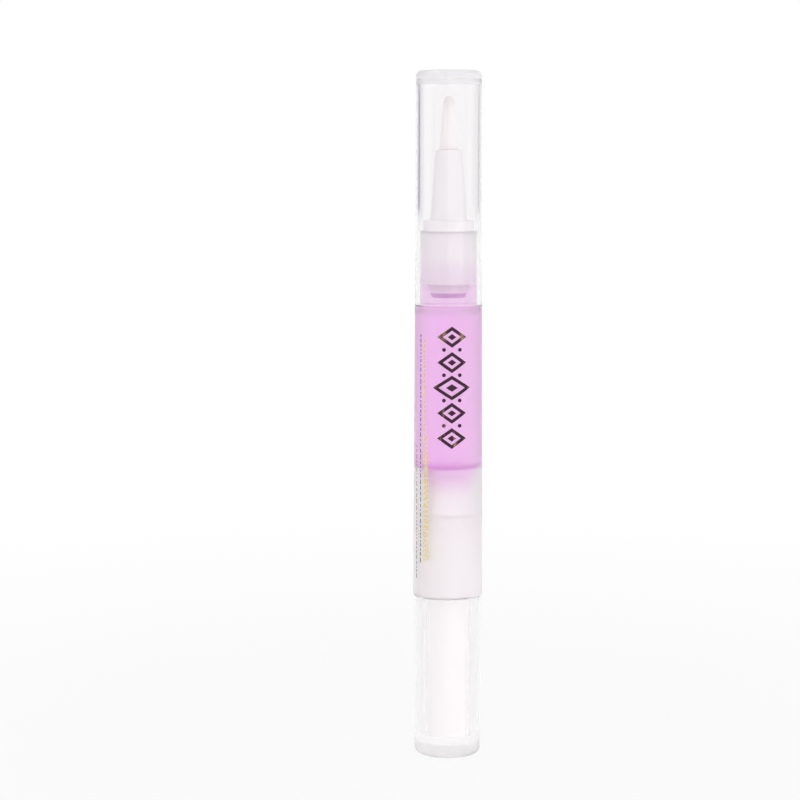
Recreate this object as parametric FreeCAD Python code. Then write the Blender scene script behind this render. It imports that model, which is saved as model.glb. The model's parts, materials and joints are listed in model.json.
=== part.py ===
import FreeCAD, Part
import math
import os

# Twist-up nail oil pen, capped and standing on its knob. Lengths are in millimetres and angles in
# degrees. +Z runs up the pen's axis, and the origin is the centre of the knob's foot.
# Most pieces are turned about that axis. An outline is a list of corners, and each corner is its
# distance from the axis, its height and the radius that rounds it.

# Knob
KNOB_LENGTH = 30.85
KNOB_FLOOR = 3.9
KNOB_WALL = 2.44
KNOB_DRAFT = 0.14
KNOB_FOOT_ROUND = 1.1
KNOB_RIM_ROUND = 0.25

# Driver sleeve, pressed into the knob
DRIVER_FLOOR = 0.8
DRIVER_BORE_ROOM = 0.5
DRIVER_WALL = 1.5
JOURNAL_WALL = 0.6
JOURNAL_CLEARANCE = 0.06
SNAP_BEAD = 0.35
SNAP_LENGTH = 0.8
SNAP_PLAY = 0.1
SEAT_WALL = 0.7
SEAT_FLATS = 5.0
KEY_CLEARANCE = 0.08
DRIVER_TOP_GAP = 0.4

# Lead screw
THREAD_PITCH = 2.0
SCREW_CREST_DIA = 4.0
SCREW_ROOT_DIA = 2.9
SCREW_FLATS = 2.7
THREAD_CREST_WIDTH = 0.5
THREAD_ROOT_WIDTH = 1.1
THREAD_CLEARANCE = 0.15
THREAD_LEAD_IN = 2.0
THREAD_HEAD_GAP = 0.6
SCREW_TIP_GAP = 0.4
SCREW_NECK_DIA = 2.0
SCREW_HEAD_DIA = 3.0
SCREW_HEAD_LENGTH = 2.0
SCREW_HEAD_CHAMFER = 0.5

# Click ring on the driver and ratchet ring in the barrel's tail
CLICK_HUB_WALL = 0.4
CLICK_ARM_GAP = 0.2
CLICK_ARM_THICKNESS = 0.35
CLICK_ARM_COUNT = 3
CLICK_ARM_SPAN = 80.0
CLICK_ROOT_SPAN = 25.0
CLICK_HEIGHT = 3.6
PAWL_CLEARANCE = 0.05
RATCHET_TOOTH_COUNT = 16
RATCHET_TOOTH_HEIGHT = 0.3
RATCHET_LIP = 1.85
RATCHET_HEIGHT = 8.9
RATCHET_INSET = 0.05

# Nut
NUT_HEIGHT = 6.65
NUT_COUNTERSINK = 0.5

# Barrel and neck
TAIL_GAP = 0.2
BARREL_LENGTH = 55.15
BARREL_BORE = 10.4
BARREL_WALL = 1.2
BARREL_DRAFT = 0.28
BARREL_EDGE_ROUND = 0.3
TAIL_STEP = 0.2
SHOULDER_WALL = 0.5
NECK_STEP = 1.0
NECK_WALL = 1.18
NECK_LENGTH = 14.0
NECK_EDGE_ROUND = 0.2

# Piston
PISTON_PARK_GAP = 0.15
PISTON_CLEARANCE = 0.04
PISTON_CROWN = 1.5
PISTON_WAIST_DEPTH = 0.6
LIP_LAND = 1.2
LIP_RAMP = 0.5
CUP_DEPTH = 3.2
CUP_RIM_WALL = 0.35
CUP_FLOOR_DIA = 5.2
CUP_FLOOR_ROUND = 1.0
SOCKET_LIP_LENGTH = 1.6
SOCKET_LIP_CLEARANCE = 0.25
SOCKET_CLEARANCE = 0.15
SOCKET_PLAY = 0.2

# Oil
OIL_GAP = 0.05

# Nozzle
COLLAR_OVERLAP = 0.55
COLLAR_HEIGHT = 2.0
COLLAR_ROUND = 0.35
CONE_LENGTH = 13.1
CONE_BASE_DIA = 6.9
CONE_TIP_DIA = 5.0
CONE_TIP_ROUND = 0.55
CONE_FOOT_ROUND = 0.3
SHANK_LENGTH = 9.9
NOSE_LENGTH = 2.6
NOSE_DIA = 5.5
NOSE_TIP_DIA = 4.2
NOSE_TIP_ROUND = 0.7
FEED_CHANNEL_DIA = 2.6

# Brush
TUFT_DIA = 3.6
TUFT_TIP_DIA = 2.0
TUFT_LENGTH = 10.0
TUFT_TIP_ROUND = 0.8
TUFT_ROOT_LENGTH = 7.3
TUFT_COLLAR_HEIGHT = 2.0
TUBE_DIA = 1.5
TUBE_BORE = 0.9
TUBE_REACH = 2.0

# Cap
CAP_SEAT_GAP = 0.05
CAP_BEAD = 0.06
CAP_BEAD_HEIGHT = 4.6
CAP_BEAD_WIDTH = 1.0
CAP_CLEARANCE = 0.06
CAP_WALL = 0.85
CAP_SKIRT_LENGTH = 9.0
CAP_SKIRT_FLARE = 0.13
CAP_DRAFT = 0.05
CAP_BORE_DRAFT = 0.06
CAP_TIP_ROOM = 3.1
CAP_CROWN = 1.6
CAP_CROWN_ROUND = 1.1
CAP_CEILING_ROUND = 1.0
CAP_RIM_ROUND = 0.2

# How far a cut runs past the face that it opens, and a ridge into the core that carries it
OVERRUN = 0.5

# A corner's rounding takes at most this share of a side, less where the next corner is rounded too
LONE_ROUND_SHARE = 0.9
PAIRED_ROUND_SHARE = 0.45

AXIS = FreeCAD.Vector(0, 0, 1)
FULL_TURN = 360.0

# Distances from the axis, worked outwards from the screw
SCREW_CREST_R = SCREW_CREST_DIA / 2
SCREW_ROOT_R = SCREW_ROOT_DIA / 2
SCREW_NECK_R = SCREW_NECK_DIA / 2
SCREW_HEAD_R = SCREW_HEAD_DIA / 2
DRIVER_BORE_R = SCREW_CREST_R + DRIVER_BORE_ROOM
STEM_R = DRIVER_BORE_R + DRIVER_WALL
JOURNAL_R = DRIVER_BORE_R + JOURNAL_WALL
SNAP_R = JOURNAL_R + SNAP_BEAD
KNOB_R = STEM_R + KNOB_WALL
KEY_R = SCREW_CREST_R + KEY_CLEARANCE
SEAT_R = KEY_R + SEAT_WALL
HUB_R = SEAT_R + CLICK_HUB_WALL
PAWL_R = HUB_R + CLICK_ARM_GAP + CLICK_ARM_THICKNESS
TOOTH_CREST_R = PAWL_R + PAWL_CLEARANCE
TOOTH_ROOT_R = TOOTH_CREST_R + RATCHET_TOOTH_HEIGHT
BORE_R = BARREL_BORE / 2
PISTON_R = BORE_R - PISTON_CLEARANCE
CUP_FLOOR_R = CUP_FLOOR_DIA / 2
CUP_RIM_R = PISTON_R - CUP_RIM_WALL
SOCKET_R = SCREW_HEAD_R + SOCKET_CLEARANCE
SOCKET_LIP_R = SCREW_NECK_R + SOCKET_LIP_CLEARANCE
TAIL_BORE_R = BORE_R + TAIL_STEP
TAIL_R = TAIL_BORE_R + BARREL_WALL
SHOULDER_R = TAIL_R - BARREL_DRAFT
NECK_BORE_R = BORE_R - NECK_STEP
NECK_R = NECK_BORE_R + NECK_WALL
COLLAR_R = NECK_BORE_R + COLLAR_OVERLAP
NOSE_R = NOSE_DIA / 2
NOSE_TIP_R = NOSE_TIP_DIA / 2
CHANNEL_R = FEED_CHANNEL_DIA / 2
TUBE_R = TUBE_DIA / 2
TUFT_R = TUFT_DIA / 2
TUFT_TIP_R = TUFT_TIP_DIA / 2
CAP_BORE_R = NECK_R + CAP_BEAD + CAP_CLEARANCE
CAP_RIM_R = CAP_BORE_R + CAP_WALL
CAP_WAIST_R = CAP_RIM_R - CAP_SKIRT_FLARE
CAP_TOP_R = CAP_WAIST_R - CAP_DRAFT
CAP_CEILING_R = CAP_BORE_R - CAP_BORE_DRAFT

# Heights, stacked up from the foot
DRIVER_BORE_LOW = KNOB_FLOOR + DRIVER_FLOOR
SCREW_LOW = DRIVER_BORE_LOW + SCREW_TIP_GAP
TAIL_Z = KNOB_LENGTH + TAIL_GAP
RATCHET_LOW = TAIL_Z + RATCHET_INSET
LIP_TOP = RATCHET_LOW + RATCHET_LIP
SNAP_LOW = LIP_TOP + SNAP_PLAY
SNAP_TOP = SNAP_LOW + SNAP_LENGTH
NUT_LOW = RATCHET_LOW + RATCHET_HEIGHT
DRIVER_TOP = NUT_LOW - DRIVER_TOP_GAP
NUT_TOP = NUT_LOW + NUT_HEIGHT
PISTON_LOW = NUT_TOP + PISTON_PARK_GAP
SOCKET_LOW = PISTON_LOW + SOCKET_LIP_LENGTH
SOCKET_TOP = SOCKET_LOW + SCREW_HEAD_LENGTH + 2 * SOCKET_PLAY
CUP_FLOOR_Z = SOCKET_TOP + PISTON_CROWN
PISTON_RIM = CUP_FLOOR_Z + CUP_DEPTH
THREAD_LOW = SCREW_LOW + THREAD_LEAD_IN
THREAD_HIGH = PISTON_LOW - THREAD_HEAD_GAP
SCREW_HEAD_LOW = SOCKET_LOW + SOCKET_PLAY
SCREW_HEAD_TOP = SCREW_HEAD_LOW + SCREW_HEAD_LENGTH
SHOULDER_Z = TAIL_Z + BARREL_LENGTH
NECK_BORE_LOW = SHOULDER_Z - SHOULDER_WALL
RESERVOIR_TOP = NECK_BORE_LOW - NECK_STEP
BEAD_Z = SHOULDER_Z + CAP_BEAD_HEIGHT
NECK_TOP = SHOULDER_Z + NECK_LENGTH
SHANK_LOW = NECK_TOP - SHANK_LENGTH
NOSE_LOW = SHANK_LOW - NOSE_LENGTH
COLLAR_TOP = NECK_TOP + COLLAR_HEIGHT
CONE_TOP = COLLAR_TOP + CONE_LENGTH
TUFT_LOW = CONE_TOP - TUFT_ROOT_LENGTH
POCKET_LOW = TUFT_LOW - TUFT_COLLAR_HEIGHT
TUBE_TOP = CONE_TOP + TUBE_REACH
TUFT_TOP = CONE_TOP + TUFT_LENGTH
CAP_RIM_Z = SHOULDER_Z + CAP_SEAT_GAP
CAP_WAIST_Z = CAP_RIM_Z + CAP_SKIRT_LENGTH
CAP_CEILING = TUFT_TOP + CAP_TIP_ROOM
CAP_TOP = CAP_CEILING + CAP_CROWN


def rounded_corner(before, corner, after, rounding, before_share, after_share):
    """Give the start, middle and end of the arc that rounds a corner, or the bare corner thrice."""
    if rounding == 0:
        return corner, corner, corner
    back = before - corner
    ahead = after - corner
    half_angle = back.getAngle(ahead) / 2
    trim = min(
        rounding / math.tan(half_angle),
        before_share * back.Length,
        after_share * ahead.Length,
    )
    radius = trim * math.tan(half_angle)
    back.normalize()
    ahead.normalize()
    inward = back + ahead
    inward.normalize()
    middle = corner + inward * (radius / math.sin(half_angle) - radius)
    return corner + back * trim, middle, corner + ahead * trim


def outline_face(corners):
    """Make the face inside a closed outline of (distance from axis, height, rounding) corners."""
    points = [FreeCAD.Vector(radius, 0, height) for radius, height, _ in corners]
    shares = [PAIRED_ROUND_SHARE if rounding else LONE_ROUND_SHARE for _, _, rounding in corners]
    count = len(corners)
    arcs = [
        rounded_corner(
            points[i - 1],
            points[i],
            points[(i + 1) % count],
            corners[i][2],
            shares[i - 1],
            shares[(i + 1) % count],
        )
        for i in range(count)
    ]
    edges = []
    for i, (start, middle, end) in enumerate(arcs):
        if start != end:
            edges.append(Part.Arc(start, middle, end).toShape())
        edges.append(Part.makeLine(end, arcs[(i + 1) % count][0]))
    return Part.Face(Part.Wire(edges))


def turned(corners):
    """Turn a closed outline about the pen's axis."""
    return outline_face(corners).revolve(FreeCAD.Vector(), AXIS, FULL_TURN)


def cylinder(radius, low, high):
    """Make a plain cylinder on the pen's axis."""
    return Part.makeCylinder(radius, high - low, AXIS * low)


def slab(width, reach, low, high):
    """Make a block on the axis, width deep along Y and reach to each side along X."""
    corner = FreeCAD.Vector(-reach, -width / 2, low)
    return Part.makeBox(2 * reach, width, high - low, corner)


def flatted_bar(radius, flats, low, high):
    """Make a round bar with two flats, which keys one piece to another."""
    return cylinder(radius, low, high).common(slab(flats, 2 * radius, low, high))


def polar(radius, angle, height):
    """Give the point at a distance from the axis, an angle about it and a height."""
    turn = math.radians(angle)
    return FreeCAD.Vector(radius * math.cos(turn), radius * math.sin(turn), height)


def thread_ridge(root_r, crest_r, root_width, crest_width, low, high):
    """Sweep a right-hand thread's ridge up a helix whose middle runs from low to high."""
    flank = (root_width - crest_width) / 2 / (crest_r - root_r)
    foot_r = root_r - OVERRUN
    foot_half = root_width / 2 + flank * OVERRUN
    crest_half = crest_width / 2
    section = Part.makePolygon([
        FreeCAD.Vector(foot_r, 0, -foot_half),
        FreeCAD.Vector(crest_r, 0, -crest_half),
        FreeCAD.Vector(crest_r, 0, crest_half),
        FreeCAD.Vector(foot_r, 0, foot_half),
        FreeCAD.Vector(foot_r, 0, -foot_half),
    ])
    helix = Part.Wire(Part.makeHelix(THREAD_PITCH, high - low, root_r).Edges)
    ridge = helix.makePipeShell([section], True, True)
    ridge.translate(AXIS * low)
    return ridge


def cap():
    """Clear drafted cap with a flared skirt, whose bore runs over the neck's bead."""
    return turned([
        (CAP_BORE_R, CAP_RIM_Z, 0),
        (CAP_RIM_R, CAP_RIM_Z, CAP_RIM_ROUND),
        (CAP_WAIST_R, CAP_WAIST_Z, 0),
        (CAP_TOP_R, CAP_TOP, CAP_CROWN_ROUND),
        (0, CAP_TOP, 0),
        (0, CAP_CEILING, 0),
        (CAP_CEILING_R, CAP_CEILING, CAP_CEILING_ROUND),
    ])


def barrel():
    """Frosted barrel: tail bore, oil bore, shoulder for the cap, and the neck with its bead."""
    bead_half = CAP_BEAD_WIDTH / 2
    return turned([
        (TAIL_BORE_R, TAIL_Z, 0),
        (TAIL_R, TAIL_Z, BARREL_EDGE_ROUND),
        (SHOULDER_R, SHOULDER_Z, BARREL_EDGE_ROUND),
        (NECK_R, SHOULDER_Z, 0),
        (NECK_R, BEAD_Z - bead_half, 0),
        (NECK_R + CAP_BEAD, BEAD_Z, CAP_BEAD),
        (NECK_R, BEAD_Z + bead_half, 0),
        (NECK_R, NECK_TOP, NECK_EDGE_ROUND),
        (NECK_BORE_R, NECK_TOP, 0),
        (NECK_BORE_R, NECK_BORE_LOW, 0),
        (BORE_R, RESERVOIR_TOP, 0),
        (BORE_R, NUT_TOP, 0),
        (TAIL_BORE_R, NUT_TOP, 0),
    ])


def nozzle():
    """Applicator: cone, collar on the neck's rim, press-in shank, and the nose in the oil."""
    return turned([
        (CHANNEL_R, NOSE_LOW, 0),
        (NOSE_TIP_R, NOSE_LOW, NOSE_TIP_ROUND),
        (NOSE_R, SHANK_LOW, 0),
        (NECK_BORE_R, SHANK_LOW, 0),
        (NECK_BORE_R, NECK_TOP, 0),
        (COLLAR_R, NECK_TOP, 0),
        (COLLAR_R, COLLAR_TOP, COLLAR_ROUND),
        (CONE_BASE_DIA / 2, COLLAR_TOP, CONE_FOOT_ROUND),
        (CONE_TIP_DIA / 2, CONE_TOP, CONE_TIP_ROUND),
        (TUFT_R, CONE_TOP, 0),
        (TUFT_R, POCKET_LOW, 0),
        (TUBE_R, POCKET_LOW, 0),
        (TUBE_R, NECK_TOP, 0),
        (CHANNEL_R, NECK_TOP, 0),
    ])


def tuft_collar():
    """Ring at the bottom of the nozzle's pocket, on which the tuft's root stands."""
    return cylinder(TUFT_R, POCKET_LOW, TUFT_LOW).cut(cylinder(TUBE_R, POCKET_LOW, TUFT_LOW))


def feed_tube():
    """Fine tube from the nozzle's channel up into the middle of the tuft."""
    return cylinder(TUBE_R, NECK_TOP, TUBE_TOP).cut(cylinder(TUBE_BORE / 2, NECK_TOP, TUBE_TOP))


def brush_tuft():
    """Tapered filament bundle, as one closed form with the feed tube's hole."""
    return turned([
        (TUBE_R, TUFT_LOW, 0),
        (TUFT_R, TUFT_LOW, 0),
        (TUFT_R, CONE_TOP, 0),
        (TUFT_TIP_R, TUFT_TOP, TUFT_TIP_ROUND),
        (0, TUFT_TOP, 0),
        (0, TUBE_TOP, 0),
        (TUBE_R, TUBE_TOP, 0),
    ])


def reservoir_oil():
    """Oil in the barrel's wide bore, down into the piston's cup."""
    return turned([
        (0, CUP_FLOOR_Z + OIL_GAP, 0),
        (CUP_FLOOR_R, CUP_FLOOR_Z + OIL_GAP, CUP_FLOOR_ROUND),
        (CUP_RIM_R, PISTON_RIM + OIL_GAP, 0),
        (BORE_R, PISTON_RIM + OIL_GAP, 0),
        (BORE_R, RESERVOIR_TOP, 0),
        (0, RESERVOIR_TOP, 0),
    ])


def neck_oil():
    """Oil above the wide bore, round the nozzle's nose and up its feed channel."""
    return turned([
        (0, RESERVOIR_TOP, 0),
        (BORE_R, RESERVOIR_TOP, 0),
        (NECK_BORE_R, NECK_BORE_LOW, 0),
        (NECK_BORE_R, SHANK_LOW, 0),
        (NOSE_R, SHANK_LOW, 0),
        (NOSE_TIP_R, NOSE_LOW, NOSE_TIP_ROUND),
        (CHANNEL_R, NOSE_LOW, 0),
        (CHANNEL_R, NECK_TOP, 0),
        (0, NECK_TOP, 0),
    ])


def piston():
    """Piston with an oil cup on top, two lips, and a snap socket for the screw's head."""
    waist_r = PISTON_R - PISTON_WAIST_DEPTH
    low_land = PISTON_LOW + LIP_LAND
    high_land = PISTON_RIM - LIP_LAND
    return turned([
        (SOCKET_LIP_R, PISTON_LOW, 0),
        (PISTON_R, PISTON_LOW, 0),
        (PISTON_R, low_land, 0),
        (waist_r, low_land + LIP_RAMP, 0),
        (waist_r, high_land - LIP_RAMP, 0),
        (PISTON_R, high_land, 0),
        (PISTON_R, PISTON_RIM, 0),
        (CUP_RIM_R, PISTON_RIM, 0),
        (CUP_FLOOR_R, CUP_FLOOR_Z, CUP_FLOOR_ROUND),
        (0, CUP_FLOOR_Z, 0),
        (0, SOCKET_TOP, 0),
        (SOCKET_R, SOCKET_TOP, 0),
        (SOCKET_R, SOCKET_LOW, 0),
        (SOCKET_LIP_R, SOCKET_LOW, 0),
    ])


def lead_screw():
    """Threaded rod with two flats for the driver's key, and a head that snaps into the piston."""
    core = cylinder(SCREW_ROOT_R, SCREW_LOW, THREAD_HIGH)
    half_foot = THREAD_ROOT_WIDTH / 2
    ridge = thread_ridge(
        SCREW_ROOT_R,
        SCREW_CREST_R,
        THREAD_ROOT_WIDTH,
        THREAD_CREST_WIDTH,
        THREAD_LOW + half_foot,
        THREAD_HIGH - half_foot,
    )
    keyed = core.fuse(ridge).common(slab(SCREW_FLATS, SCREW_CREST_DIA, SCREW_LOW, THREAD_HIGH))
    head = turned([
        (0, THREAD_HIGH, 0),
        (SCREW_NECK_R, THREAD_HIGH, 0),
        (SCREW_NECK_R, SCREW_HEAD_LOW, 0),
        (SCREW_HEAD_R, SCREW_HEAD_LOW, 0),
        (SCREW_HEAD_R, SCREW_HEAD_TOP - SCREW_HEAD_CHAMFER, 0),
        (SCREW_HEAD_R - SCREW_HEAD_CHAMFER, SCREW_HEAD_TOP, 0),
        (0, SCREW_HEAD_TOP, 0),
    ])
    return keyed.fuse(head)


def thread_nut():
    """Nut pressed in the barrel's tail, tapped with the screw's thread and its clearance."""
    bore_r = SCREW_ROOT_R + THREAD_CLEARANCE
    mouth_r = bore_r + NUT_COUNTERSINK
    blank = turned([
        (0, NUT_LOW + NUT_COUNTERSINK, 0),
        (bore_r, NUT_LOW + NUT_COUNTERSINK, 0),
        (mouth_r, NUT_LOW, 0),
        (TAIL_BORE_R, NUT_LOW, 0),
        (TAIL_BORE_R, NUT_TOP, 0),
        (mouth_r, NUT_TOP, 0),
        (bore_r, NUT_TOP - NUT_COUNTERSINK, 0),
        (0, NUT_TOP - NUT_COUNTERSINK, 0),
    ])
    screw_start = THREAD_LOW + THREAD_ROOT_WIDTH / 2
    turns_below = math.floor((NUT_LOW - screw_start) / THREAD_PITCH) - 1
    turns_inside = math.ceil(NUT_HEIGHT / THREAD_PITCH) + 3
    tap_low = screw_start + turns_below * THREAD_PITCH
    tap_high = tap_low + turns_inside * THREAD_PITCH
    ridge = thread_ridge(
        bore_r,
        SCREW_CREST_R + THREAD_CLEARANCE,
        THREAD_ROOT_WIDTH + 2 * THREAD_CLEARANCE,
        THREAD_CREST_WIDTH + 2 * THREAD_CLEARANCE,
        tap_low,
        tap_high,
    )
    return blank.cut(cylinder(bore_r, tap_low, tap_high).fuse(ridge))


def ratchet_ring():
    """Ring of saw teeth in the barrel's tail, with the lip that holds the driver's snap bead."""
    tooth_angle = FULL_TURN / RATCHET_TOOTH_COUNT
    teeth = []
    for i in range(RATCHET_TOOTH_COUNT):
        teeth.append(polar(TOOTH_ROOT_R, i * tooth_angle, LIP_TOP))
        teeth.append(polar(TOOTH_CREST_R, (i + 1) * tooth_angle, LIP_TOP))
    teeth.append(teeth[0])
    tooth_length = NUT_LOW - LIP_TOP
    cavity = Part.Face(Part.makePolygon(teeth)).extrude(AXIS * tooth_length)
    journal_hole = cylinder(JOURNAL_R + JOURNAL_CLEARANCE, RATCHET_LOW, LIP_TOP)
    return cylinder(TAIL_BORE_R, RATCHET_LOW, NUT_LOW).cut(cavity).cut(journal_hole)


def click_arm(angle):
    """One spring arm, which trails back from the hub to a pawl just inside the teeth."""
    root_r = (SEAT_R + HUB_R) / 2
    tip_inner_r = PAWL_R - CLICK_ARM_THICKNESS
    tip_angle = angle - CLICK_ARM_SPAN
    inner_root_angle = angle - CLICK_ROOT_SPAN
    outer = Part.Arc(
        polar(root_r, angle, SNAP_TOP),
        polar((root_r + PAWL_R) / 2, (angle + tip_angle) / 2, SNAP_TOP),
        polar(PAWL_R, tip_angle, SNAP_TOP),
    ).toShape()
    inner = Part.Arc(
        polar(tip_inner_r, tip_angle, SNAP_TOP),
        polar((root_r + tip_inner_r) / 2, (inner_root_angle + tip_angle) / 2, SNAP_TOP),
        polar(root_r, inner_root_angle, SNAP_TOP),
    ).toShape()
    tip = Part.makeLine(polar(PAWL_R, tip_angle, SNAP_TOP), polar(tip_inner_r, tip_angle, SNAP_TOP))
    root = Part.makeLine(polar(root_r, inner_root_angle, SNAP_TOP), polar(root_r, angle, SNAP_TOP))
    return Part.Face(Part.Wire([outer, tip, inner, root])).extrude(AXIS * CLICK_HEIGHT)


def click_ring():
    """Hub keyed on the driver's seat, with its spring arms."""
    click_top = SNAP_TOP + CLICK_HEIGHT
    ring = cylinder(HUB_R, SNAP_TOP, click_top)
    for i in range(CLICK_ARM_COUNT):
        ring = ring.fuse(click_arm(i * FULL_TURN / CLICK_ARM_COUNT))
    return ring.cut(flatted_bar(SEAT_R, SEAT_FLATS, SNAP_TOP, click_top))


def driver_sleeve():
    """White core of the knob: stem, journal, snap bead, and the keyed seat of the click ring."""
    body = turned([
        (0, KNOB_FLOOR, 0),
        (STEM_R, KNOB_FLOOR, 0),
        (STEM_R, KNOB_LENGTH, 0),
        (JOURNAL_R, KNOB_LENGTH, 0),
        (JOURNAL_R, SNAP_LOW, 0),
        (SNAP_R, SNAP_LOW, 0),
        (JOURNAL_R, SNAP_TOP, 0),
        (0, SNAP_TOP, 0),
    ])
    seat = flatted_bar(SEAT_R, SEAT_FLATS, SNAP_LOW, DRIVER_TOP)
    bore = cylinder(DRIVER_BORE_R, DRIVER_BORE_LOW, SNAP_LOW)
    key_flats = SCREW_FLATS + 2 * KEY_CLEARANCE
    key = flatted_bar(KEY_R, key_flats, SNAP_LOW - OVERRUN, DRIVER_TOP + OVERRUN)
    return body.fuse(seat).cut(bore).cut(key)


def knob_shell():
    """Clear knob: a thick wall round the driver and a solid clear foot."""
    return turned([
        (0, 0, 0),
        (KNOB_R - KNOB_DRAFT, 0, KNOB_FOOT_ROUND),
        (KNOB_R, KNOB_LENGTH, KNOB_RIM_ROUND),
        (STEM_R, KNOB_LENGTH, 0),
        (STEM_R, KNOB_FLOOR, 0),
        (0, KNOB_FLOOR, 0),
    ])


PIECES = (
    cap,
    barrel,
    nozzle,
    tuft_collar,
    feed_tube,
    brush_tuft,
    reservoir_oil,
    neck_oil,
    piston,
    lead_screw,
    thread_nut,
    ratchet_ring,
    click_ring,
    driver_sleeve,
    knob_shell,
)

os.makedirs("parts", exist_ok=True)
for make_piece in PIECES:
    make_piece().removeSplitter().exportStep(f"parts/{make_piece.__name__}.step")
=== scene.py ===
"""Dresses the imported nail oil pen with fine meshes, finishes and print, and sets up its studio.

Sizes in the classes are millimetres in the pen's own frame: +Z runs up the axis from the middle of the
knob's foot, and the camera looks along +Y. Angles are degrees. Meshes are built in metres.
"""

import json
import logging
import math
import random
from collections.abc import Iterable, Sequence
from dataclasses import dataclass
from enum import Enum

import bmesh
import bpy
from mathutils import Matrix, Vector

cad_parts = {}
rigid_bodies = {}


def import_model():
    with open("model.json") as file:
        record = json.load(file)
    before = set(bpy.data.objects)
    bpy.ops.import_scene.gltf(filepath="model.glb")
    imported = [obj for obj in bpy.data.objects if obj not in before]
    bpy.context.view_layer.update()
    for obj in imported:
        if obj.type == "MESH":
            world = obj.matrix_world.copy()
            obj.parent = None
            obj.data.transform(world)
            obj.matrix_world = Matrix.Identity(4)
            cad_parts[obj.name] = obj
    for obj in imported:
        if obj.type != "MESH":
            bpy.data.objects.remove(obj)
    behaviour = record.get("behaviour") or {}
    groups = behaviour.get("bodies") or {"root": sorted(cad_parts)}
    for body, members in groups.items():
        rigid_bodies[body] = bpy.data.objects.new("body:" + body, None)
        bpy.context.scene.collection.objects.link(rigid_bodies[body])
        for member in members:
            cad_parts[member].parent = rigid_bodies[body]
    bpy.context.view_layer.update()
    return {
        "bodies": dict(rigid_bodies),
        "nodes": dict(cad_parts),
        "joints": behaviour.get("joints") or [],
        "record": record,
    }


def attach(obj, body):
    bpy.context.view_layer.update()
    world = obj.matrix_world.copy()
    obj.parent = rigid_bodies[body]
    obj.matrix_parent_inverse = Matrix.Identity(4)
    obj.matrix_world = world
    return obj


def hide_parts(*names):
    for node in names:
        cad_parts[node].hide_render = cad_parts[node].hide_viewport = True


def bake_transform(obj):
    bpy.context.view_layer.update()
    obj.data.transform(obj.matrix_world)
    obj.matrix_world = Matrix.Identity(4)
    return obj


LOG = logging.getLogger("oil_pen")
MM = 0.001
TURN = 2 * math.pi

Colour = tuple[float, float, float]
Corner = tuple[float, float, float]
Place = tuple[float, float]
Column = tuple[float, float, float, float]
WHITE = (1.0, 1.0, 1.0)


class Body(Enum):
    """The pen's moving bodies."""

    BARREL = "barrel"
    CAP = "cap"
    KNOB = "knob"
    PISTON = "piston"


class Slot(Enum):
    """The record's material slots, which new pieces are passed with; nothing reads them."""

    CLEAR = "clear_plastic"
    FROSTED = "frosted_plastic"
    OIL = "lavender_oil"
    PISTON = "piston_plastic"
    FILAMENT = "filament"


class Effect(Enum):
    """Surface effects that several finishes share."""

    GRAIN = "mould_grain"
    SCUFFS_AND_GLINTS = "handling_scuffs"
    FADE = "height_fade"


class Canvas:
    """Adds and joins the nodes of one tree."""

    def __init__(self, tree: bpy.types.NodeTree) -> None:
        """Take the tree to work in."""
        self.tree = tree

    def add(self, kind: str, settings: dict | None = None, **inputs: object) -> bpy.types.Node:
        """Add a node.

        Args:
            kind: the node's class without its ShaderNode prefix.
            settings: the node's own properties by name.
            inputs: a value or an output socket for each input, with underscores for spaces.

        Returns:
            The new node.
        """
        node = self.tree.nodes.new("ShaderNode" + kind)
        for name, value in (settings or {}).items():
            setattr(node, name, value)
        for name, value in inputs.items():
            self.feed(node.inputs[name.replace("_", " ")], value)
        return node

    def feed(self, socket: bpy.types.NodeSocket, value: object) -> None:
        """Link an output to an input, or set the input's own value.

        Args:
            socket: the input.
            value: an output socket, a number or a tuple.
        """
        if isinstance(value, bpy.types.NodeSocket):
            self.tree.links.new(value, socket)
        else:
            socket.default_value = value

    def math(self, operation: str, *values: object) -> bpy.types.NodeSocket:
        """Work out a number.

        Args:
            operation: the Math node's operation.
            values: its operands, each a number or an output socket.

        Returns:
            The result's socket.
        """
        node = self.add("Math", {"operation": operation})
        for socket, value in zip(node.inputs, values):
            self.feed(socket, value)
        return node.outputs[0]

    def remap(
        self, value: object, low: object, high: object, start: float, end: float
    ) -> bpy.types.NodeSocket:
        """Carry a value smoothly from one range to another.

        Args:
            value: the number or output socket.
            low: where the range begins.
            high: where it ends.
            start: the result at its beginning.
            end: the result at its end.

        Returns:
            The result's socket.
        """
        node = self.add("MapRange", {"interpolation_type": "SMOOTHSTEP"})
        for socket, given in zip(node.inputs, (value, low, high, start, end)):
            self.feed(socket, given)
        return node.outputs[0]

    def blend(self, share: object, first: object, second: object) -> bpy.types.NodeSocket:
        """Mix two colours.

        Args:
            share: how much of the second one, as a number or an output socket.
            first: a colour or an output socket.
            second: a colour or an output socket.

        Returns:
            The mixed colour's socket.
        """
        node = self.add("Mix", {"data_type": "RGBA"})
        for index, value in ((0, share), (6, first), (7, second)):
            self.feed(node.inputs[index], (*value, 1.0) if isinstance(value, tuple) else value)
        return node.outputs[2]


BROAD_SHARE = 0.05
GRAIN_LOW = 0.3
GRAIN_HIGH = 0.7
STREAK_STRETCH = (1.0, 1.0, 0.15)
STREAK_START = 0.5
STREAK_FULL = 0.75


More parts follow.
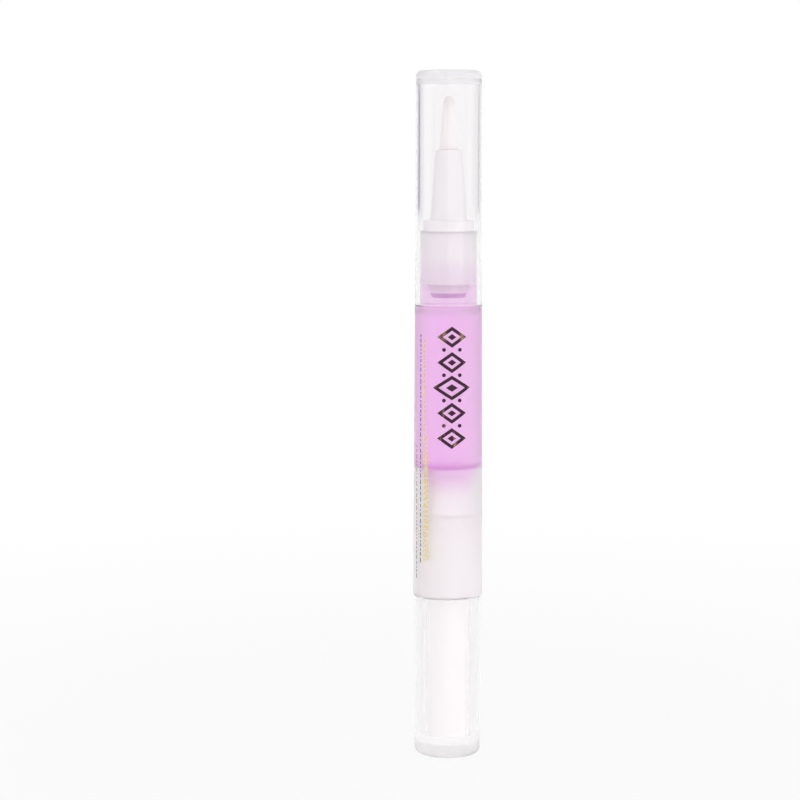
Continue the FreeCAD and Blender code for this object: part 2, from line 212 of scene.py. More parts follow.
class Effects:
    """Builds each shared effect once as a node group and places it in materials."""

    def __init__(self) -> None:
        """Build all the groups."""
        self.groups = {
            Effect.GRAIN: self.grain(),
            Effect.SCUFFS_AND_GLINTS: self.scuffs_and_glints(),
            Effect.FADE: self.fade(),
        }

    def start(
        self, effect: Effect, inputs: Sequence[str], outputs: Sequence[str]
    ) -> tuple[Canvas, bpy.types.Node, bpy.types.Node]:
        """Make an empty group with its sockets.

        Args:
            effect: the effect that it holds.
            inputs: names of its number inputs.
            outputs: names of its number outputs.

        Returns:
            The group's canvas, its input node and its output node.
        """
        group = bpy.data.node_groups.new(effect.value, "ShaderNodeTree")
        for name in inputs:
            group.interface.new_socket(name, in_out="INPUT", socket_type="NodeSocketFloat")
        for name in outputs:
            group.interface.new_socket(name, in_out="OUTPUT", socket_type="NodeSocketFloat")
        ends = [group.nodes.new("NodeGroup" + end) for end in ("Input", "Output")]
        return Canvas(group), *ends

    def grain(self) -> bpy.types.NodeTree:
        """Make fine moulded texture, and the broad mottle of plastic that cooled unevenly.

        Returns:
            The group, which puts out the texture's height and the mottle.
        """
        canvas, given, result = self.start(Effect.GRAIN, ("Scale",), ("Height", "Mottle"))
        place = canvas.add("TexCoord").outputs["Object"]
        fine = canvas.add("TexNoise", Vector=place, Scale=given.outputs["Scale"], Detail=2.0)
        broad_scale = canvas.math("MULTIPLY", given.outputs["Scale"], BROAD_SHARE)
        broad = canvas.add("TexNoise", Vector=place, Scale=broad_scale, Detail=3.0)
        canvas.feed(result.inputs["Height"], fine.outputs[0])
        canvas.feed(result.inputs["Mottle"], broad.outputs[0])
        return canvas.tree

    def scuffs_and_glints(self) -> bpy.types.NodeTree:
        """Make faint lengthwise streaks: rub marks from pocket and hand on plastic, and painted glints
        on foil.

        Returns:
            The group, which puts out the marks.
        """
        canvas, given, result = self.start(Effect.SCUFFS_AND_GLINTS, ("Scale", "Amount"), ("Streak",))
        place = canvas.add("TexCoord").outputs["Object"]
        drawn_out = canvas.add("VectorMath", {"operation": "MULTIPLY"})
        canvas.feed(drawn_out.inputs[0], place)
        canvas.feed(drawn_out.inputs[1], STREAK_STRETCH)
        streaks = canvas.add(
            "TexNoise", Vector=drawn_out.outputs[0], Scale=given.outputs["Scale"], Detail=4.0
        )
        mask = canvas.remap(streaks.outputs[0], STREAK_START, STREAK_FULL, 0.0, 1.0)
        canvas.feed(result.inputs["Streak"], canvas.math("MULTIPLY", mask, given.outputs["Amount"]))
        return canvas.tree

    def fade(self) -> bpy.types.NodeTree:
        """Make a mask that rises smoothly from 0 at one height of the piece to 1 at another.

        Returns:
            The group, which puts out the mask.
        """
        canvas, given, result = self.start(Effect.FADE, ("Low", "High"), ("Mask",))
        place = canvas.add("TexCoord").outputs["Object"]
        height = canvas.add("SeparateXYZ", Vector=place).outputs["Z"]
        mask = canvas.remap(height, given.outputs["Low"], given.outputs["High"], 0.0, 1.0)
        canvas.feed(result.inputs["Mask"], mask)
        return canvas.tree

    def place(self, canvas: Canvas, effect: Effect, **inputs: float) -> bpy.types.Node:
        """Place an effect in a material.

        Args:
            canvas: the material's canvas.
            effect: which effect.
            inputs: values for the group's inputs.

        Returns:
            The group's node.
        """
        return canvas.add("Group", {"node_tree": self.groups[effect]}, **inputs)


def new_material(name: str) -> tuple[bpy.types.Material, Canvas, bpy.types.Node]:
    """Make an empty node material.

    Args:
        name: the material's name.

    Returns:
        The material, its canvas and its output node.
    """
    material = bpy.data.materials.new(name)
    material.use_nodes = True
    material.node_tree.nodes.clear()
    canvas = Canvas(material.node_tree)
    return material, canvas, canvas.add("OutputMaterial")


def relief(
    canvas: Canvas, grain: bpy.types.Node, finish: "LightPlastic | SolidPlastic | Foil"
) -> bpy.types.NodeSocket:
    """Raise a finish's grain above its surface.

    Args:
        canvas: the material's canvas.
        grain: the grain's group node.
        finish: what says how deep and how strong the grain is.

    Returns:
        The socket of the surface's normal.
    """
    bump = canvas.add(
        "Bump",
        Strength=finish.bump_strength,
        Distance=finish.grain_depth * MM,
        Height=grain.outputs["Height"],
    )
    return bump.outputs[0]


def let_light_through(
    canvas: Canvas, output: bpy.types.Node, shader: bpy.types.Node, finish: "LightPlastic | TintedOil"
) -> None:
    """End a material that light passes through: lamps shine through it, and its depth takes up light.

    Args:
        canvas: the material's canvas.
        output: the material's output node.
        shader: the surface that the eye sees.
        finish: what says how much light passes and is taken up.
    """
    lamp_light = canvas.add("BsdfTransparent", Color=(*finish.through, 1.0))
    mixed = canvas.add("MixShader", Fac=canvas.add("LightPath").outputs["Is Shadow Ray"])
    canvas.feed(mixed.inputs[1], shader.outputs[0])
    canvas.feed(mixed.inputs[2], lamp_light.outputs[0])
    canvas.feed(output.inputs["Surface"], mixed.outputs[0])
    depth = canvas.add("VolumeAbsorption", Color=(*finish.absorbed, 1.0), Density=finish.density)
    canvas.feed(output.inputs["Volume"], depth.outputs[0])


@dataclass(frozen=True)
class LightPlastic:
    """Plastic that light passes through, clear or frosted."""

    name: str
    colour: Colour
    clearness: float
    polished: float
    rubbed: float
    grain_scale: float
    grain_depth: float
    through: Colour
    absorbed: Colour
    density: float
    frost: float
    clear_z: float
    frosted_z: float
    ior: float = 1.49
    scuff_scale: float = 900.0
    mottle_share: float = 0.985
    bump_strength: float = 0.2

    def material(self, effects: Effects) -> bpy.types.Material:
        """Build the finish.

        Args:
            effects: the shared node groups.

        Returns:
            The material.
        """
        material, canvas, output = new_material(self.name)
        grain = effects.place(canvas, Effect.GRAIN, Scale=self.grain_scale)
        scuffs_and_glints = effects.place(canvas, Effect.SCUFFS_AND_GLINTS, Scale=self.scuff_scale, Amount=1.0)
        roughness = canvas.remap(scuffs_and_glints.outputs["Streak"], 0.0, 1.0, self.polished, self.rubbed)
        fade = effects.place(canvas, Effect.FADE, Low=self.clear_z * MM, High=self.frosted_z * MM)
        frosting = canvas.math("MULTIPLY", fade.outputs["Mask"], self.frost)
        roughness = canvas.math("ADD", roughness, frosting)
        deeper = tuple(self.mottle_share * part for part in self.colour)
        tint = canvas.blend(grain.outputs["Mottle"], self.colour, deeper)
        shader = canvas.add(
            "BsdfPrincipled",
            Base_Color=tint,
            Roughness=roughness,
            IOR=self.ior,
            Transmission_Weight=self.clearness,
            Normal=relief(canvas, grain, self),
        )
        let_light_through(canvas, output, shader, self)
        return material


@dataclass(frozen=True)
class TintedOil:
    """Clear oil, whose tint deepens with the way that light takes through it."""

    name: str
    ior: float
    absorbed: Colour
    density: float
    through: Colour
    pale: Colour = (1.0, 0.995, 1.0)
    deep: Colour = (0.99, 0.97, 0.99)
    mottle_scale: float = 700.0

    def material(self, effects: Effects) -> bpy.types.Material:
        """Build the finish.

        Args:
            effects: the shared node groups.

        Returns:
            The material.
        """
        material, canvas, output = new_material(self.name)
        grain = effects.place(canvas, Effect.GRAIN, Scale=self.mottle_scale)
        tint = canvas.blend(grain.outputs["Mottle"], self.pale, self.deep)
        shader = canvas.add(
            "BsdfPrincipled",
            Base_Color=tint,
            Roughness=0.0,
            IOR=self.ior,
            Transmission_Weight=1.0,
        )
        let_light_through(canvas, output, shader, self)
        return material


@dataclass(frozen=True)
class ColourBand:
    """Colour laid on a piece between two heights, full at the second one: oil stains, painted light and
    painted shade.
    """

    colour: Colour
    start_z: float
    full_z: float
    strength: float


@dataclass(frozen=True)
class SolidPlastic:
    """Moulded or drawn plastic that hides what is behind it."""

    name: str
    colour: Colour
    shade: Colour
    smooth: float
    rough: float
    grain_scale: float
    grain_depth: float
    softness: float
    bands: tuple[ColourBand, ...] = ()
    ior: float = 1.5
    bump_strength: float = 0.3
    bleed: Colour = (1.0, 0.85, 0.9)
    bleed_depth: float = 0.6

    def material(self, effects: Effects) -> bpy.types.Material:
        """Build the finish.

        Args:
            effects: the shared node groups.

        Returns:
            The material.
        """
        material, canvas, output = new_material(self.name)
        grain = effects.place(canvas, Effect.GRAIN, Scale=self.grain_scale)
        colour = canvas.blend(grain.outputs["Mottle"], self.colour, self.shade)
        # Lay each band of colour by height: oil stains, and on the nozzle painted light and painted
        # shade.
        for band in self.bands:
            fade = effects.place(canvas, Effect.FADE, Low=band.start_z * MM, High=band.full_z * MM)
            share = canvas.math("MULTIPLY", fade.outputs["Mask"], band.strength)
            colour = canvas.blend(share, colour, band.colour)
        roughness = canvas.remap(grain.outputs["Height"], GRAIN_LOW, GRAIN_HIGH, self.smooth, self.rough)
        shader = canvas.add(
            "BsdfPrincipled",
            Base_Color=colour,
            Roughness=roughness,
            IOR=self.ior,
            Subsurface_Weight=self.softness,
            Subsurface_Radius=self.bleed,
            Subsurface_Scale=self.bleed_depth * MM,
            Normal=relief(canvas, grain, self),
        )
        canvas.feed(output.inputs["Surface"], shader.outputs[0])
        return material


@dataclass(frozen=True)
class Foil:
    """Hot-stamped foil, dark, with painted glints: paler streaks in its colour that stand for the light
    it catches.
    """

    name: str
    colour: Colour
    painted_glint: Colour
    metal: float
    roughness: float
    streak_scale: float
    painted_glint_low: float
    painted_glint_high: float
    rougher: float = 0.12
    grain_scale: float = 9000.0
    grain_depth: float = 0.004
    bump_strength: float = 0.2

    def material(self, effects: Effects) -> bpy.types.Material:
        """Build the finish.

        Args:
            effects: the shared node groups.

        Returns:
            The material.
        """
        material, canvas, output = new_material(self.name)
        grain = effects.place(canvas, Effect.GRAIN, Scale=self.grain_scale)
        streaks = effects.place(canvas, Effect.SCUFFS_AND_GLINTS, Scale=self.streak_scale, Amount=1.0)
        # Painted glints: paler streaks blended into the foil's colour stand for the light that it
        # reflects.
        painted_glint = canvas.remap(streaks.outputs["Streak"], self.painted_glint_low, self.painted_glint_high, 0.0, 1.0)
        colour = canvas.blend(painted_glint, self.colour, self.painted_glint)
        dull = self.roughness + self.rougher
        roughness = canvas.remap(grain.outputs["Height"], GRAIN_LOW, GRAIN_HIGH, self.roughness, dull)
        shader = canvas.add(
            "BsdfPrincipled",
            Base_Color=colour,
            Metallic=self.metal,
            Roughness=roughness,
            Normal=relief(canvas, grain, self),
        )
        canvas.feed(output.inputs["Surface"], shader.outputs[0])
        return material


Finish = LightPlastic | TintedOil | SolidPlastic | Foil

LAVENDER = (0.80, 0.50, 0.81)
# Deep lavender of the painted shade at the nozzle's tip.
PAINTED_SHADE_LAVENDER = (0.52, 0.0, 0.56)
CLEAR_CAP = LightPlastic(
    name="clear_cap",
    colour=(0.99, 0.982, 0.987),
    clearness=0.97,
    polished=0.02,
    rubbed=0.08,
    grain_scale=900.0,
    grain_depth=0.001,
    through=(0.97, 0.965, 0.97),
    absorbed=(0.62, 0.60, 0.62),
    density=25.0,
    frost=0.1,
    clear_z=124.0,
    frosted_z=127.4,
)
MILKY_CROWN = LightPlastic(
    name="milky_crown",
    colour=(0.99, 0.988, 0.992),
    clearness=0.5,
    polished=0.14,
    rubbed=0.2,
    grain_scale=900.0,
    grain_depth=0.01,
    through=(0.96, 0.955, 0.96),
    absorbed=(0.62, 0.60, 0.62),
    density=2.0,
    frost=0.2,
    clear_z=127.4,
    frosted_z=129.0,
)
CLEAR_KNOB = LightPlastic(
    name="clear_knob",
    colour=(0.99, 0.982, 0.985),
    clearness=0.9,
    polished=0.02,
    rubbed=0.07,
    grain_scale=500.0,
    grain_depth=0.003,
    through=(0.945, 0.94, 0.942),
    absorbed=(0.65, 0.55, 0.58),
    density=1.0,
    frost=0.95,
    clear_z=4.0,
    frosted_z=0.0,
)
FROSTED_BARREL = LightPlastic(
    name="frosted_barrel",
    colour=(0.985, 0.967, 0.977),
    clearness=0.9,
    polished=0.08,
    rubbed=0.14,
    grain_scale=9000.0,
    grain_depth=0.01,
    through=(0.95, 0.93, 0.94),
    absorbed=(0.62, 0.58, 0.62),
    density=16.0,
    frost=0.22,
    clear_z=86.4,
    frosted_z=86.0,
)
OIL = TintedOil("lavender_oil", 1.47, (0.95, 0.07, 0.96), 68.0, (0.99, 0.98, 0.99))
NOZZLE_PLASTIC = SolidPlastic(
    name="nozzle_plastic",
    colour=(0.97, 0.953, 0.963),
    shade=(0.955, 0.935, 0.948),
    smooth=0.38,
    rough=0.5,
    grain_scale=6000.0,
    grain_depth=0.012,
    softness=0.0,
    bands=(
        # Painted shade: above the neck's top the collar and cone, which stand in open light, are set
        # darker than the shank in the neck, to even out the light.
        ColourBand((0.92, 0.893, 0.905), 100.4, 101.2, 0.8),
        ColourBand(LAVENDER, 95.6, 92.6, 0.2),
        # Painted light: the nose below the shank is set whiter to make up for the little light that
        # reaches it through the oil.
        ColourBand((0.985, 0.975, 0.985), 90.35, 90.25, 0.9),
        # Painted shade: a deep lavender band at the nose's tip stands for the dark crescent of shade
        # under the nose.
        ColourBand(PAINTED_SHADE_LAVENDER, 88.75, 88.45, 1.0),
    ),
)
PISTON_PLASTIC = SolidPlastic(
    name="piston_plastic",
    # Painted shade: the piston's white is set darker than the other white plastic, so that it renders
    # dimmer than the white pieces beside it.
    colour=(0.90, 0.88, 0.89),
    shade=(0.885, 0.862, 0.875),
    smooth=0.34,
    rough=0.46,
    grain_scale=5000.0,
    grain_depth=0.012,
    softness=0.3,
    bands=(ColourBand(LAVENDER, 49.2, 55.0, 1.0),),
)
WHITE_PLASTIC = SolidPlastic(
    name="white_plastic",
    colour=(0.965, 0.945, 0.953),
    shade=(0.95, 0.928, 0.938),
    smooth=0.3,
    rough=0.42,
    grain_scale=7000.0,
    grain_depth=0.01,
    softness=0.2,
)
TUBE_PLASTIC = SolidPlastic(
    name="tube_plastic",
    colour=(0.93, 0.92, 0.92),
    shade=(0.90, 0.89, 0.90),
    smooth=0.3,
    rough=0.4,
    grain_scale=8000.0,
    grain_depth=0.008,
    softness=0.3,
)
NYLON = SolidPlastic(
    name="nylon_filament",
    colour=(0.985, 0.955, 0.95),
    shade=(0.97, 0.935, 0.935),
    smooth=0.3,
    rough=0.42,
    grain_scale=12000.0,
    grain_depth=0.006,
    softness=0.0,
    # Darker towards the nozzle's mouth, where the filaments come out of it.
    bands=(ColourBand((0.93, 0.88, 0.90), 116.6, 115.2, 0.5),),
)
BROWN_FOIL = Foil(
    name="brown_foil",
    colour=(0.036, 0.008, 0.018),
    # Painted glints: gold-brown streaks in the brown foil stand for reflected light.
    painted_glint=(0.40, 0.27, 0.13),
    metal=0.25,
    roughness=0.3,
    streak_scale=700.0,
    painted_glint_low=0.1,
    painted_glint_high=0.8,
)
GOLD_FOIL = Foil(
    name="gold_foil",
    colour=(0.92, 0.77, 0.27),
    # Painted glints: paler yellow streaks in the gold foil stand for reflected light.
    painted_glint=(0.97, 0.89, 0.43),
    metal=0.2,
    roughness=0.32,
    streak_scale=900.0,
    painted_glint_low=0.1,
    painted_glint_high=0.9,
)


class Wardrobe:
    """Builds each finish once and hands out its material."""

    def __init__(self) -> None:
        """Build the shared effects."""
        self.effects = Effects()
        self.made: dict[str, bpy.types.Material] = {}

    def get(self, finish: Finish) -> bpy.types.Material:
        """Give a finish's material.

        Args:
            finish: which finish.

        Returns:
            Its material, built on first use.
        """
        if finish.name not in self.made:
            self.made[finish.name] = finish.material(self.effects)
        return self.made[finish.name]


ROUND_STEPS = 8
GUARD = 0.05
MOST_ROUND_SHARE = 0.45
LATHE_SEGMENTS = 192
SHARP_ANGLE = 28.0
ON_AXIS = 1e-6


def rounded(before: Vector, corner: Vector, after: Vector, rounding: float) -> list[Vector]:
    """Round one corner of an outline.

    Args:
        before: the outline's corner before it.
        corner: the corner itself.
        after: the outline's corner after it.
        rounding: the arc's radius, or 0 for a bare corner.

    Returns:
        The arc's points in order, or the bare corner.
    """
    if rounding == 0:
        return [corner]
    back, ahead = (before - corner), (after - corner)
    half = back.angle(ahead) / 2
    most = MOST_ROUND_SHARE * min(back.length, ahead.length)
    trim = min(rounding / math.tan(half), most)
    radius = trim * math.tan(half)
    inward = (back.normalized() + ahead.normalized()).normalized()
    centre = corner + inward * (radius / math.sin(half))
    start = corner + back.normalized() * trim - centre
    end = corner + ahead.normalized() * trim - centre
    sweep = math.atan2(start.x * end.y - start.y * end.x, start.dot(end))
    turns = [Matrix.Rotation(sweep * step / ROUND_STEPS, 2) for step in range(ROUND_STEPS + 1)]
    return [centre + turn @ start for turn in turns]


def outline(corners: Sequence[Corner]) -> list[Vector]:
    """Trace a closed outline with guard points close to the ends of its straight runs.

    Args:
        corners: distance from the axis, height and rounding of each corner, in order.

    Returns:
        The outline's points.
    """
    bare = [Vector(corner[:2]) for corner in corners]
    count = len(corners)
    arcs = [
        rounded(bare[i - 1], bare[i], bare[(i + 1) % count], corners[i][2]) for i in range(count)
    ]
    points = []
    for arc, following in zip(arcs, arcs[1:] + arcs[:1]):
        points += arc
        run = following[0] - arc[-1]
        if run.length > 4 * GUARD:
            step = run.normalized() * GUARD
            points += [arc[-1] + step, following[0] - step]
    return points


def mesh_object(name: str, mesh: bmesh.types.BMesh) -> bpy.types.Object:
    """Turn a finished bmesh into a smooth-shaded object with its hard edges kept.

    Args:
        name: the object's name.
        mesh: the bmesh, which is freed.

    Returns:
        The object, linked to the scene.
    """
    bmesh.ops.recalc_face_normals(mesh, faces=mesh.faces)
    for face in mesh.faces:
        face.smooth = True
    data = bpy.data.meshes.new(name)
    mesh.to_mesh(data)
    mesh.free()
    data.set_sharp_from_angle(angle=math.radians(SHARP_ANGLE))
    made = bpy.data.objects.new(name, data)
    bpy.context.scene.collection.objects.link(made)
    return made


def bridge(mesh: bmesh.types.BMesh, lower: list, upper: list) -> None:
    """Join two rings of vertices, either of which may be a single one on the axis.

    Args:
        mesh: the bmesh that holds them.
        lower: the first ring.
        upper: the second ring.
    """
    count = max(len(lower), len(upper))
    if count == 1:
        return
    for i in range(count):
        corners = [
            lower[i % len(lower)],
            lower[(i + 1) % len(lower)],
            upper[(i + 1) % len(upper)],
            upper[i % len(upper)],
        ]
        mesh.faces.new(list(dict.fromkeys(corners)))


def lathe(name: str, corners: Sequence[Corner]) -> bpy.types.Object:
    """Turn a closed outline about the pen's axis.

    Args:
        name: the object's name.
        corners: the outline's corners, as outline() takes them.

    Returns:
        The object.
    """
    mesh = bmesh.new()
    angles = [TURN * i / LATHE_SEGMENTS for i in range(LATHE_SEGMENTS)]
    rings = []
    for radius, height in outline(corners):
        ways = angles if radius > ON_AXIS else angles[:1]
        rings.append(
            [
                mesh.verts.new((radius * math.cos(a) * MM, radius * math.sin(a) * MM, height * MM))
                for a in ways
            ]
        )
    for lower, upper in zip(rings, rings[1:] + rings[:1]):
        bridge(mesh, lower, upper)
    return mesh_object(name, mesh)


@dataclass
class SubAssembly:
    """What the pen's sub-assemblies share: the frame, and a way to place and dress pieces."""

    frame: dict
    wardrobe: Wardrobe

    def place(
        self,
        piece: bpy.types.Object,
        finish: Finish,
        body: Body,
        slot: Slot | None = None,
        nodes: Iterable[str] = (),
    ) -> bpy.types.Object:
        """Dress a new piece and set it on its body.

        Args:
            piece: the new object.
            finish: what it is made of.
            body: the body that it moves with.
            slot: the record's slot for its finish, if it has one; not used.
            nodes: the solids that it stands for.

        Returns:
            The same object.
        """
        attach(piece, body.value)
        return self.cover(piece, finish, slot, nodes)

    def cover(
        self,
        piece: bpy.types.Object,
        finish: Finish,
        slot: Slot | None = None,
        nodes: Iterable[str] = (),
    ) -> bpy.types.Object:
        """Dress a new piece that place() or its own class sets on its bodies.

        Args:
            piece: the new object.
            finish: what it is made of.
            slot: the record's slot for its finish, if it has one; not used.
            nodes: the solids that it stands for.

        Returns:
            The same object.
        """
        piece.data.materials.append(self.wardrobe.get(finish))
        if nodes:
            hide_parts(*nodes)
        return piece

    def dress(self, node: str, finish: SolidPlastic) -> bpy.types.Object:
        """Give a solid that stays in view its finish.

        Args:
            node: the solid's name.
            finish: what it is made of.

        Returns:
            The solid's object.
        """
        made = self.frame["nodes"][node]
        for slot in made.material_slots:
            slot.material = self.wardrobe.get(finish)
        return made


@dataclass
class Cap(SubAssembly):
    """Clear cap over the brush."""

    rim_z: float = 86.25
    top_z: float = 130.0
    ceiling_z: float = 128.4
    waist_z: float = 95.25
    bore_radius: float = 5.5
    ceiling_radius: float = 5.44
    rim_radius: float = 6.35
    waist_radius: float = 6.22
    top_radius: float = 6.17
    crown_round: float = 1.1
    ceiling_round: float = 1.0
    crown_z: float = 127.4
    crown_inset: float = 0.02
    rim_round: float = 0.06

    def build(self) -> list[bpy.types.Object]:
        """Build and dress the clear shell, and the milky crown that the mould's gate leaves on it.

        Returns:
            The shell and the crown.
        """
        seam_radius = self.radius_at(self.crown_z)
        shell = lathe(
            "cap_shell",
            [
                (self.bore_radius, self.rim_z, 0),
                (self.rim_radius, self.rim_z, self.rim_round),
                (self.waist_radius, self.waist_z, 0),
                (seam_radius, self.crown_z, 0),
                (self.ceiling_radius, self.crown_z, 0),
            ],
        )
        seam_z = self.crown_z - self.crown_inset
        crown = lathe(
            "cap_crown",
            [
                (self.ceiling_radius, seam_z, 0),
                (seam_radius, seam_z, 0),
                (self.top_radius, self.top_z, self.crown_round),
                (0, self.top_z, 0),
                (0, self.ceiling_z, 0),
                (self.ceiling_radius, self.ceiling_z, self.ceiling_round),
            ],
        )
        return [
            self.place(shell, CLEAR_CAP, Body.CAP, Slot.CLEAR, ["cap"]),
            self.place(crown, MILKY_CROWN, Body.CAP, Slot.CLEAR, ["cap"]),
        ]

    def radius_at(self, z: float) -> float:
        """Give the cap's outer radius at a height above its waist."""
        share = (z - self.waist_z) / (self.top_z - self.waist_z)
        return self.waist_radius + (self.top_radius - self.waist_radius) * share


@dataclass
class Brush(SubAssembly):
    """Bundle of fine filaments in the nozzle's mouth, fed by the tube in its middle."""

    count: int = 340
    filament_radius: float = 0.09
    root_z: float = 108.0
    mouth_z: float = 115.3
    tip_z: float = 125.3
    bundle_radius: float = 1.70
    tip_radius: float = 0.95
    core_radius: float = 0.86
    dome: float = 0.9
    uneven: float = 0.3
    wander: float = 0.05
    swerve: float = 0.12
    golden_turn: float = math.pi * (3 - math.sqrt(5))
    stations: tuple[Place, ...] = ((0, 1), (0.25, 1), (0.5, 0.98), (0.75, 0.9), (0.92, 0.7), (1, 0.2))
    sides: int = 6
    seed: int = 11

    def filament(self, mesh: bmesh.types.BMesh, index: int, draw: random.Random) -> None:
        """Add one tapered filament.

        Args:
            mesh: the bundle's bmesh.
            index: its place in the bundle, from the middle outwards.
            draw: the source of its small differences.
        """
        share = (index + 0.5) / self.count
        core, edge = self.core_radius**2, self.bundle_radius**2
        reach = math.sqrt(core + (edge - core) * share)
        angle = index * self.golden_turn
        tip_reach = self.tip_radius * math.sqrt(share) + draw.uniform(-self.wander, self.wander)
        tip_z = self.tip_z - self.dome * share**2 - draw.uniform(0, self.uneven)
        swerve = draw.uniform(-self.swerve, self.swerve)
        rings = []
        for along, thickness in self.stations:
            z = self.mouth_z + (tip_z - self.mouth_z) * along
            out = reach + (tip_reach - reach) * along
            turn = angle + swerve * along**2
            middle = Vector((out * math.cos(turn), out * math.sin(turn), z))
            rings.append(self.ring(mesh, middle, thickness))
        foot = Vector((reach * math.cos(angle), reach * math.sin(angle), self.root_z))
        rings.insert(0, self.ring(mesh, foot, 1))
        for lower, upper in zip(rings, rings[1:]):
            bridge(mesh, lower, upper)
        mesh.faces.new(rings[0])
        mesh.faces.new(rings[-1])

    def ring(self, mesh: bmesh.types.BMesh, middle: Vector, thickness: float) -> list:
        """Add one ring of a filament's vertices.

        Args:
            mesh: the bundle's bmesh.
            middle: the ring's middle.
            thickness: its share of the full filament.

        Returns:
            The ring's vertices.
        """
        size = self.filament_radius * thickness
        ways = [TURN * i / self.sides for i in range(self.sides)]
        return [
            mesh.verts.new((middle + Vector((size * math.cos(a), size * math.sin(a), 0))) * MM)
            for a in ways
        ]

    def build(self) -> list[bpy.types.Object]:
        """Build the tuft, and dress the tube in its middle and the collar that it stands on.

        Returns:
            The tuft, the tube and the collar.
        """
        draw = random.Random(self.seed)
        mesh = bmesh.new()
        for index in range(self.count):
            self.filament(mesh, index, draw)
        tuft = mesh_object("brush_filaments", mesh)
        self.place(tuft, NYLON, Body.BARREL, Slot.FILAMENT, ["brush_tuft"])
        return [tuft, self.dress("feed_tube", TUBE_PLASTIC), self.dress("tuft_collar", TUBE_PLASTIC)]


@dataclass
class Nozzle(SubAssembly):
    """Frosted applicator: cone, collar, press-in shank, and the nose that stands in the oil."""

    nose_low: float = 87.7
    nose_tip_radius: float = 2.1
    nose_tip_round: float = 0.7
    nose_radius: float = 2.75
    shank_low: float = 90.3
    shank_radius: float = 4.22
    neck_top: float = 100.2
    collar_top: float = 102.2
    collar_radius: float = 4.75
    collar_round: float = 0.35
    cone_base_radius: float = 3.45
    cone_tip_radius: float = 2.5
    cone_top: float = 115.3
    cone_foot_round: float = 0.3
    cone_tip_round: float = 0.55
    pocket_radius: float = 1.82
    pocket_low: float = 106.0
    tube_radius: float = 0.77
    channel_radius: float = 1.3

    def build(self) -> list[bpy.types.Object]:
        """Build and dress the nozzle.

        Returns:
            The nozzle.
        """
        body = lathe(
            "nozzle_body",
            [
                (self.channel_radius, self.nose_low, 0),
                (self.nose_tip_radius, self.nose_low, self.nose_tip_round),
                (self.nose_radius, self.shank_low, 0),
                (self.shank_radius, self.shank_low, 0),
                (self.shank_radius, self.neck_top, 0),
                (self.collar_radius, self.neck_top, 0),
                (self.collar_radius, self.collar_top, self.collar_round),
                (self.cone_base_radius, self.collar_top, self.cone_foot_round),
                (self.cone_tip_radius, self.cone_top, self.cone_tip_round),
                (self.pocket_radius, self.cone_top, 0),
                (self.pocket_radius, self.pocket_low, 0),
                (self.tube_radius, self.pocket_low, 0),
                (self.tube_radius, self.neck_top, 0),
                (self.channel_radius, self.neck_top, 0),
            ],
        )
        return [self.place(body, NOZZLE_PLASTIC, Body.BARREL, Slot.FROSTED, ["nozzle"])]


@dataclass
class Barrel(SubAssembly):
    """Frosted barrel with its neck and snap bead."""

    tail_z: float = 30.9
    tail_radius: float = 6.598
    tail_round: float = 0.08
    tail_bore: float = 5.37
    nut_top: float = 46.65
    bore_radius: float = 5.2
    bore_top: float = 84.7
    neck_bore_low: float = 85.7
    neck_bore: float = 4.2
    neck_top: float = 100.2
    neck_radius: float = 5.38
    neck_round: float = 0.06
    shoulder_z: float = 86.2
    shoulder_radius: float = 6.32
    edge_round: float = 0.1
    bead_z: float = 90.8
    bead_half: float = 0.5
    bead_height: float = 0.06

    def radius_at(self, z: float) -> float:
        """Give the barrel's outer radius at a height."""
        share = (z - self.tail_z) / (self.shoulder_z - self.tail_z)
        return self.tail_radius + (self.shoulder_radius - self.tail_radius) * share

    def build(self) -> list[bpy.types.Object]:
        """Build and dress the barrel.

        Returns:
            The barrel.
        """
        shell = lathe(
            "barrel_shell",
            [
                (self.tail_bore, self.tail_z, 0),
                (self.tail_radius, self.tail_z, self.tail_round),
                (self.shoulder_radius, self.shoulder_z, self.edge_round),
                (self.neck_radius, self.shoulder_z, 0),
                (self.neck_radius, self.bead_z - self.bead_half, 0),
                (self.neck_radius + self.bead_height, self.bead_z, self.bead_height),
                (self.neck_radius, self.bead_z + self.bead_half, 0),
                (self.neck_radius, self.neck_top, self.neck_round),
                (self.neck_bore, self.neck_top, 0),
                (self.neck_bore, self.neck_bore_low, 0),
                (self.bore_radius, self.bore_top, 0),
                (self.bore_radius, self.nut_top, 0),
                (self.tail_bore, self.nut_top, 0),
            ],
        )
        return [self.place(shell, FROSTED_BARREL, Body.BARREL, Slot.FROSTED, ["barrel"])]


